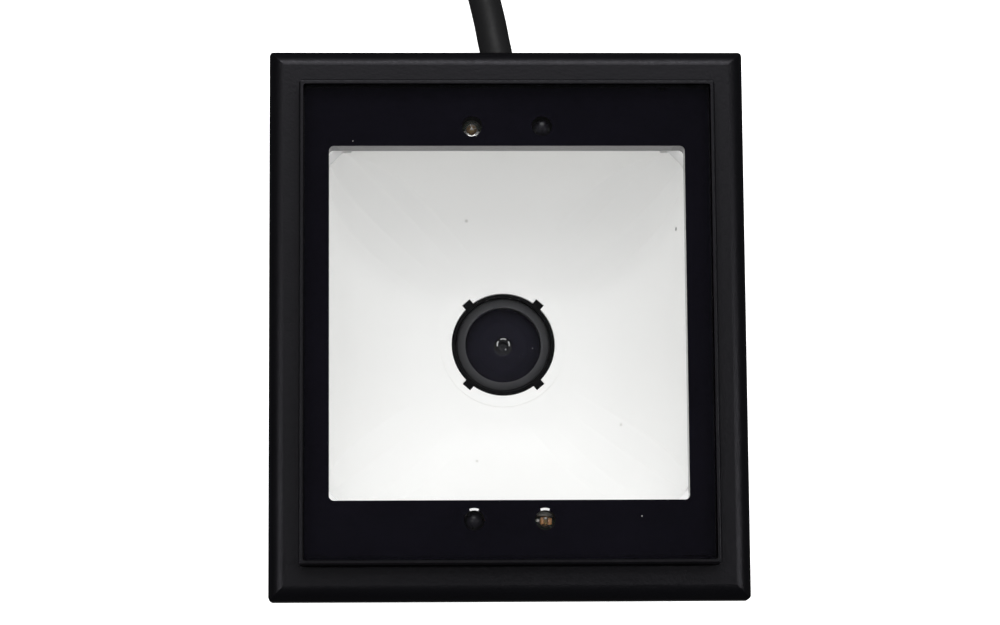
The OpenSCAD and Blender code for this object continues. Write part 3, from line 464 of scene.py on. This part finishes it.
# Bowl corners and what is seen on the panel
def add_bowl_corners():
    """Sloped white fillets in the mouth's four corners, from its lip up to the housing."""
    gap = 0.02 * MM
    half, short = MOUTH_HALF, MOUTH_HALF - FILLET_LEG
    lip_z, top_z = bowl_high.z - FILLET_DROP, bowl_high.z - gap
    for i, (sx, sy) in enumerate(((1, 1), (-1, 1), (-1, -1), (1, -1))):
        points = [
            (sx * half, sy * half, top_z), (sx * short, sy * half, lip_z), (sx * half, sy * short, lip_z),
            (sx * half, sy * half, lip_z),
        ]
        faces = [(0, 1, 2), (0, 3, 1), (0, 2, 3), (1, 3, 2)]
        if sx * sy < 0:
            faces = [tuple(reversed(face)) for face in faces]
        add_mesh(f"diffuser_corner_{i + 1}", points, faces, "diffuser_white", smooth=False)


def add_window_arcs():
    """Painted highlights: white arcs under the panel at the upper edge of the two lower lamp holes, where the
    holes' walls show a reflection.
    """
    inner_r, outer_r, thick = 1.5 * MM, 1.83 * MM, 0.02 * MM
    shift_x, shift_y = 0.04 * MM, 0.1 * MM
    for node, side in (("dark_sensor_bottom", "left"), ("clear_lamp_bottom", "right")):
        low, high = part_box(node)
        centre = (low + high) / 2
        # Painted highlight: a pale arc for the reflection in the hole's wall.
        add_arc(
            f"window_arc_{side}", (centre.x - shift_x, centre.y - shift_y), inner_r, outer_r, 68, 112,
            panel_low.z, panel_low.z + thick, "lamp_white",
        )


def add_window_dust():
    """Two specks of dust on the panel."""
    for i, (x, y, radius) in enumerate(((18.48, -27.98, 0.08), (-22.03, 25.73, 0.06))):
        speck = [(TIP_R_MM, 0.04), (0.6 * radius, 0.03), (radius, 0), (TIP_R_MM, 0)]
        add_turned(
            f"window_dust_{i + 1}", in_mm(speck), (x * MM, y * MM, panel_high.z), "board_white", sides=9
        )


add_top_lamp_parts(*add_lamp_core("lamp_top", "clear_lamp_top", 1.6 * MM))
add_bottom_lamp_parts(*add_lamp_core("lamp_bottom", "clear_lamp_bottom", 1.0 * MM))
add_bowl_corners()
add_window_arcs()
add_window_dust()


# Materials
class Finish:
    """A Principled material with procedural colour, roughness and bump."""

    def __init__(self, slot, colour, roughness, **sockets):
        self.slot = slot
        self.material = bpy.data.materials.new(slot)
        self.material.use_nodes = True
        self.tree = self.material.node_tree
        self.shader = self.tree.nodes["Principled BSDF"]
        self.colour = (*colour, 1)
        self.shader.inputs["Base Color"].default_value = self.colour
        self.shader.inputs["Roughness"].default_value = roughness
        for socket, value in sockets.items():
            self.shader.inputs[socket.replace("_", " ")].default_value = value
        self.place = self.add("ShaderNodeTexCoord").outputs["Object"]

    def add(self, kind, **values):
        node = self.tree.nodes.new(kind)
        for key, value in values.items():
            setattr(node, key, value)
        return node

    def link(self, source, target):
        self.tree.links.new(source, target)

    def noise(self, scale, detail, stretch=(1, 1, 1)):
        mapping = self.add("ShaderNodeMapping")
        mapping.inputs["Scale"].default_value = stretch
        self.link(self.place, mapping.inputs["Vector"])
        texture = self.add("ShaderNodeTexNoise")
        texture.inputs["Scale"].default_value = scale
        texture.inputs["Detail"].default_value = detail
        self.link(mapping.outputs["Vector"], texture.inputs["Vector"])
        return texture.outputs["Fac"]

    def ranged(self, source, low, high, from_low=0.3, from_high=0.7):
        node = self.add("ShaderNodeMapRange")
        node.inputs["From Min"].default_value = from_low
        node.inputs["From Max"].default_value = from_high
        node.inputs["To Min"].default_value = low
        node.inputs["To Max"].default_value = high
        self.link(source, node.inputs["Value"])
        return node.outputs["Result"]

    def math(self, operation, first, second=None):
        node = self.add("ShaderNodeMath", operation=operation)
        for value, socket in ((first, node.inputs[0]), (second, node.inputs[1])):
            if value is None:
                continue
            if isinstance(value, (int, float)):
                socket.default_value = value
            else:
                self.link(value, socket)
        return node.outputs[0]

    def all_of(self, first, *others):
        """1 where every one of the masks is 1."""
        for other in others:
            first = self.math("MULTIPLY", first, other)
        return first

    def mix_colour(self, factor, first, second):
        node = self.add("ShaderNodeMix", data_type="RGBA")
        self.link(factor, node.inputs[0])
        for value, socket in ((first, node.inputs[6]), (second, node.inputs[7])):
            if isinstance(value, tuple):
                socket.default_value = value
            else:
                self.link(value, socket)
        return node.outputs[2]

    def vary_colour(self, factor, other):
        """Goes from the base colour to another one."""
        source = self.shader.inputs["Base Color"]
        first = source.links[0].from_socket if source.is_linked else self.colour
        self.link(self.mix_colour(factor, first, (*other, 1)), source)
        return self

    def vary_roughness(self, source):
        self.link(source, self.shader.inputs["Roughness"])
        return self

    def bump(self, height, depth):
        node = self.add("ShaderNodeBump")
        node.inputs["Strength"].default_value = 1.0
        node.inputs["Distance"].default_value = depth
        self.link(height, node.inputs["Height"])
        self.link(node.outputs["Normal"], self.shader.inputs["Normal"])
        return self

    def axes(self):
        """The place's x, y and z."""
        split = self.add("ShaderNodeSeparateXYZ")
        self.link(self.place, split.inputs[0])
        return list(split.outputs)

    def off_axis(self):
        """How far a point is from the upright axis."""
        flat = self.add("ShaderNodeVectorMath", operation="MULTIPLY")
        self.link(self.place, flat.inputs[0])
        flat.inputs[1].default_value = (1, 1, 0)
        length = self.add("ShaderNodeVectorMath", operation="LENGTH")
        self.link(flat.outputs[0], length.inputs[0])
        return length.outputs["Value"]

    def near(self, place, radius, soft):
        """1 within a radius of a place, falling to 0 over the soft width."""
        node = self.add("ShaderNodeVectorMath", operation="DISTANCE")
        self.link(self.place, node.inputs[0])
        node.inputs[1].default_value = place
        return self.ranged(node.outputs["Value"], 1, 0, radius, radius + soft)


def moulded(slot, colour, roughness, grain=2600, depth=0.02 * MM, spread=0.06, specular=0.5):
    """Moulded plastic with a fine matt grain."""
    finish = Finish(slot, colour, roughness, Specular_IOR_Level=specular)
    grain_noise = finish.noise(grain, 2)
    broad = finish.noise(90, 4)
    finish.vary_colour(finish.ranged(broad, 0, 0.5), tuple(0.6 * c for c in colour))
    finish.vary_roughness(finish.ranged(grain_noise, roughness - spread, roughness + spread))
    return finish.bump(grain_noise, depth)


def metal(slot, colour, roughness):
    """Metal with fine drawn lines."""
    finish = Finish(slot, colour, roughness, Metallic=1.0)
    lines = finish.noise(900, 3, (1, 1, 14))
    finish.vary_colour(finish.ranged(lines, 0, 0.35), tuple(0.55 * c for c in colour))
    return finish.vary_roughness(finish.ranged(lines, roughness - 0.08, roughness + 0.1))


def clear(slot, tint, roughness, reflect=0.04, haze=None, clear_r=0.0):
    """A clear layer that reflects more at a glancing angle. haze is a share and colour of coating over it."""
    finish = Finish(slot, haze[1] if haze else tint, roughness)
    glossy = finish.add("ShaderNodeBsdfGlossy")
    glossy.inputs["Roughness"].default_value = roughness
    passing = finish.add("ShaderNodeBsdfTransparent")
    passing.inputs["Color"].default_value = (*tint, 1)
    facing = finish.add("ShaderNodeLayerWeight").outputs["Facing"]
    steep = finish.math("POWER", facing, 5)
    share = finish.math("ADD", finish.math("MULTIPLY", steep, 1 - reflect), reflect)
    streaks = finish.noise(60, 2)
    share = finish.math("MULTIPLY", share, finish.ranged(streaks, 0.92, 1.0))
    mixed = finish.add("ShaderNodeMixShader")
    finish.link(share, mixed.inputs[0])
    finish.link(passing.outputs[0], mixed.inputs[1])
    finish.link(glossy.outputs[0], mixed.inputs[2])
    if haze:
        finish.shader.inputs["Roughness"].default_value = 0.6
        finish.shader.inputs["Specular IOR Level"].default_value = 0.0
        coated = finish.add("ShaderNodeMixShader")
        covered = finish.math("MULTIPLY", finish.ranged(streaks, 0.97, 1.0), haze[0])
        if clear_r:
            past_middle = finish.ranged(finish.off_axis(), 0, 1, clear_r, 1.1 * clear_r)
            covered = finish.math("MULTIPLY", covered, past_middle)
        finish.link(covered, coated.inputs[0])
        finish.link(mixed.outputs[0], coated.inputs[1])
        finish.link(finish.shader.outputs[0], coated.inputs[2])
        mixed = coated
    else:
        finish.tree.nodes.remove(finish.shader)
    finish.link(mixed.outputs[0], finish.tree.nodes["Material Output"].inputs["Surface"])
    return finish


def pale(slot, colour, roughness):
    """Pale plastic or paint with the slightest change of tone."""
    finish = Finish(slot, colour, roughness)
    finish.vary_colour(finish.ranged(finish.noise(900, 3), 0, 1), tuple(0.94 * c for c in colour))
    return finish.bump(finish.noise(2500, 2), 0.005 * MM)


def housing_finish():
    """Black moulding, matt outside and polished where the mould closed on the window's opening."""
    polished_half, polished_roughness, below = 25.8 * MM, 0.12, 0.05 * MM
    finish = moulded("housing_plastic", (0.0018, 0.0018, 0.0032), 0.36, spread=0.05)
    finish.shader.inputs["Specular Tint"].default_value = (0.93, 0.91, 1.0, 1)
    x, y, z = finish.axes()
    inside = finish.all_of(
        finish.math("LESS_THAN", finish.math("ABSOLUTE", x), polished_half),
        finish.math("LESS_THAN", finish.math("ABSOLUTE", y), polished_half),
        finish.math("LESS_THAN", bowl_high.z - below, z),
    )
    matt = finish.shader.inputs["Roughness"].links[0].from_socket
    node = finish.add("ShaderNodeMix", data_type="FLOAT")
    finish.link(inside, node.inputs[0])
    finish.link(matt, node.inputs[2])
    node.inputs[3].default_value = polished_roughness
    return finish.vary_roughness(node.outputs[0])


def bowl_painted_glow(finish):
    """Painted light: a slight glow over the whole bowl, and more of it on the mouth's corner fillets, which
    would show as grey triangles in their shade.

    The photo has no such triangles, so the fillets' share is set to hide them. It is no property of the
    plastic.
    """
    glow, lower_painted_light, upper_painted_light = 0.1, 0.42, 0.21
    fillet_from, fillet_full = 2 * MOUTH_HALF - 3.1 * MM, 2 * MOUTH_HALF - 2.65 * MM
    wall_gap, below = 0.1 * MM, 0.05 * MM
    x, y, z = finish.axes()
    off_x, off_y = finish.math("ABSOLUTE", x), finish.math("ABSOLUTE", y)
    fillet = finish.all_of(
        finish.ranged(finish.math("ADD", off_x, off_y), 0, 1, fillet_from, fillet_full),
        finish.math("LESS_THAN", finish.math("MAXIMUM", off_x, off_y), MOUTH_HALF - wall_gap),
        finish.math("LESS_THAN", bowl_high.z - FILLET_DROP - below, z),
    )
    painted_corner_light = finish.math("MULTIPLY", fillet, finish.ranged(y, lower_painted_light, upper_painted_light, -MM, MM))
    finish.shader.inputs["Emission Color"].default_value = (1, 0.995, 0.985, 1)
    finish.link(finish.math("ADD", painted_corner_light, glow), finish.shader.inputs["Emission Strength"])


def bowl_finish():
    """White diffuser plastic with its few specks."""
    finish = Finish("diffuser_white", (0.95, 0.945, 0.93), 0.42)
    finish.vary_colour(finish.ranged(finish.noise(35, 3), 0, 1), (0.94, 0.935, 0.918))
    specks = [
        ((24.9, 15.23, 37.91), 0.22, 0.15, (0.1, 0.1, 0.1)),
        ((-5.39, 18.29, 27.97), 0.15, 0.2, (0.68, 0.67, 0.65)),
        ((-4.02, -17.46, 27.54), 0.12, 0.2, (0.75, 0.74, 0.71)),
        ((17.15, -12.28, 28.59), 0.12, 0.2, (0.75, 0.74, 0.71)),
    ]
    for place, radius, soft, tone in specks:
        finish.vary_colour(finish.near(Vector(place) * MM, radius * MM, soft * MM), tone)
    # Painted light: the bowl glows a little, and more on its corner fillets.
    bowl_painted_glow(finish)
    return finish.bump(finish.noise(1500, 2), 0.005 * MM)


def ring_finish():
    """Dark grey face, paler at its inner edge."""
    pale_r, dark_r = 5.5 * MM, 6.8 * MM
    finish = Finish("lens_ring", (0.02, 0.02, 0.022), 0.5, Specular_IOR_Level=0.2)
    finish.vary_colour(finish.ranged(finish.off_axis(), 1, 0, pale_r, dark_r), (0.062, 0.062, 0.067))
    return finish.bump(finish.noise(4000, 2), 0.01 * MM)


def dark_lamp_finish():
    """Near-black lamp body with painted reflections: faint pale marks where the lights reflect in its dome.
    """
    painted_reflections = [
        ((5.09, 28.91, 47.46), 0.12, 0.11), ((6.06, 28.0, 47.11), 0.1, 0.06),
        ((4.13, 27.83, 47.22), 0.1, 0.045), ((-5.09, -27.75, 47.49), 0.12, 0.05),
        ((-5.09, -29.41, 47.1), 0.2, 0.02),
    ]
    soft = 0.3 * MM
    finish = moulded("lamp_dark", (0.013, 0.012, 0.017), 0.3, 1200, specular=0.25)
    # Painted reflections of the lights on the lamp's dome.
    for place, radius, tone in painted_reflections:
        finish.vary_colour(finish.near(Vector(place) * MM, radius * MM, soft), (tone, tone, 1.05 * tone))
    return finish


FINISHES = {finish.slot: finish for finish in (
    housing_finish(),
    moulded("cover_plastic", (0.009, 0.009, 0.011), 0.46),
    moulded("seal_rubber", (0.012, 0.012, 0.012), 0.7, 1800),
    metal("screw_steel", (0.52, 0.53, 0.55), 0.3),
    metal("insert_brass", (0.7, 0.5, 0.2), 0.32),
    clear("window_clear", (0.985, 0.988, 0.99), 0.015),
    moulded("window_black", (0.0055, 0.005, 0.0085), 0.5, 900, specular=0.0),
    bowl_finish(),
    moulded("lens_black", (0.0025, 0.0025, 0.0035), 0.6, specular=0.1),
    moulded("lens_metal", (0.008, 0.008, 0.01), 0.42),
    ring_finish(),
    clear(
        "lens_glass", (0.97, 0.97, 0.98), 0.02, 0.001, haze=(0.35, (0.034, 0.032, 0.052)), clear_r=1.3 * MM
    ),
    moulded("board_green", (0.02, 0.12, 0.05), 0.4, 700),
    pale("board_white", (0.8, 0.8, 0.78), 0.45),
    moulded("chip_black", (0.015, 0.015, 0.017), 0.6, 3500),
    pale("lamp_white", (0.97, 0.97, 0.96), 0.4),
    clear("lamp_clear", (0.96, 0.95, 0.92), 0.03, 0.03, haze=(0.05, (0.7, 0.68, 0.63))),
    dark_lamp_finish(),
    moulded("connector_cream", (0.75, 0.72, 0.62), 0.5, 1500),
    moulded("ribbon_amber", (0.85, 0.4, 0.15), 0.3, 1500),
    moulded("wire_cover", (0.3, 0.03, 0.03), 0.4, 1500),
    moulded("cable_jacket", (0.012, 0.012, 0.0135), 0.5, 1600, 0.03 * MM),
    moulded("grommet_rubber", (0.012, 0.012, 0.0125), 0.58, 1600),
    moulded("plug_plastic", (0.012, 0.012, 0.0135), 0.5, 1800, 0.03 * MM),
    metal("plug_metal", (0.62, 0.63, 0.65), 0.24),
    moulded("plug_insulator", (0.75, 0.75, 0.74), 0.5, 1500),
    metal("contact_gold", (0.85, 0.6, 0.2), 0.28),
)}


def dress(piece, finish):
    piece.data.materials.clear()
    piece.data.materials.append(finish.material)


for part in frame["record"]["subparts"]:
    dress(nodes[part["node"]], FINISHES[part["material_slot"]])
for piece in list(bpy.data.objects):
    if piece.type in ("MESH", "CURVE") and piece.name not in nodes:
        dress(piece, FINISHES[piece["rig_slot"]])


# Floor and light
def add_floor():
    half, level = 3.0, -0.2 * MM
    mesh = bpy.data.meshes.new("floor")
    corners = [(-half, -half, level), (half, -half, level), (half, half, level), (-half, half, level)]
    mesh.from_pydata(corners, [], [(0, 1, 2, 3)])
    floor = bpy.data.objects.new("floor", mesh)
    bpy.context.collection.objects.link(floor)
    finish = Finish("floor_paper", (0.93, 0.93, 0.93), 0.8, Emission_Strength=1.0)
    finish.shader.inputs["Emission Color"].default_value = (1, 1, 1, 1)
    finish.vary_colour(finish.noise(3, 2), (0.95, 0.95, 0.95))
    dress(floor, finish)
    floor.visible_glossy = floor.visible_diffuse = False


def add_area(name, at, target, size, power):
    """A rectangular light that looks at a target."""
    data = bpy.data.lights.new(name, "AREA")
    data.shape = "RECTANGLE"
    data.size, data.size_y = size
    data.energy = power
    light = bpy.data.objects.new(name, data)
    bpy.context.collection.objects.link(light)
    direction = Vector(target) - Vector(at)
    light.matrix_world = Matrix.Translation(at) @ direction.to_track_quat("-Z", "Y").to_matrix().to_4x4()


def light_place(edge, angle):
    """Where a bar stands so that it looks past a window edge at an angle off the front."""
    distance = 0.5
    turn = math.radians(angle)
    reach = edge + math.copysign(distance * math.sin(turn), edge)
    return reach, print_low.z + distance * math.cos(turn)


def add_bars():
    """Three narrow lights, above the reader and at its sides, that reach into the bowl."""
    bar_w, bar_len, level = 0.04, 0.28, print_low.z
    y, z = light_place(WINDOW_HALF, 39.3)
    add_area("bar_top", (0, y, z), (0, WINDOW_HALF, level), (bar_len, bar_w), 0.22)
    x, z = light_place(-WINDOW_HALF, 26.7)
    add_area("bar_left", (x, 0, z), (-WINDOW_HALF, 0, level), (bar_w, bar_len), 0.17)
    x, z = light_place(WINDOW_HALF, 31.1)
    add_area("bar_right", (x, 0, z), (WINDOW_HALF, 0, level), (bar_w, bar_len), 0.2)


def add_softbox():
    """A wide light above the reader, between two angles off the front."""
    low_turn, high_turn = math.radians(17), math.radians(50)
    turn, reach, width = (low_turn + high_turn) / 2, 1.0, 0.75
    at = (0, reach * math.sin(turn), reach * math.cos(turn))
    add_area("softbox", at, (0, 0, 0), (width, 2 * reach * math.tan((high_turn - low_turn) / 2)), 1.45)


def set_background(node, grey, strength):
    node.inputs["Color"].default_value = (grey, grey, grey, 1)
    node.inputs["Strength"].default_value = strength
    return node


def mix_shaders(tree, factor, first, second):
    node = tree.nodes.new("ShaderNodeMixShader")
    tree.links.new(factor, node.inputs[0])
    tree.links.new(first.outputs[0], node.inputs[1])
    tree.links.new(second.outputs[0], node.inputs[2])
    return node


def add_world():
    """A white backdrop for the camera, a dim one for reflections, and a tent that is bright at the top."""
    world = bpy.data.worlds.new("studio")
    bpy.context.scene.world = world
    world.use_nodes = True
    tree = world.node_tree
    seen = set_background(tree.nodes.new("ShaderNodeBackground"), 1.0, 1.0)
    tent = set_background(tree.nodes.new("ShaderNodeBackground"), 0.8, 1.0)
    dim = set_background(tree.nodes["Background"], 1.0, 0.05)
    towards = tree.nodes.new("ShaderNodeTexCoord")
    axes = tree.nodes.new("ShaderNodeSeparateXYZ")
    level = tree.nodes.new("ShaderNodeMapRange")
    for socket, value in (("From Min", -0.9), ("From Max", 0.1), ("To Min", 0.0), ("To Max", 1.3)):
        level.inputs[socket].default_value = value
    tree.links.new(towards.outputs["Generated"], axes.inputs[0])
    tree.links.new(axes.outputs["Y"], level.inputs["Value"])
    tree.links.new(level.outputs["Result"], tent.inputs["Strength"])
    path = tree.nodes.new("ShaderNodeLightPath")
    by_gloss = mix_shaders(tree, path.outputs["Is Glossy Ray"], tent, dim)
    by_camera = mix_shaders(tree, path.outputs["Is Camera Ray"], by_gloss, seen)
    tree.links.new(by_camera.outputs[0], tree.nodes["World Output"].inputs["Surface"])
    world.cycles.sampling_method = "NONE"


add_floor()
add_bars()
add_softbox()
add_world()
bpy.context.scene.view_settings.view_transform = "Standard"
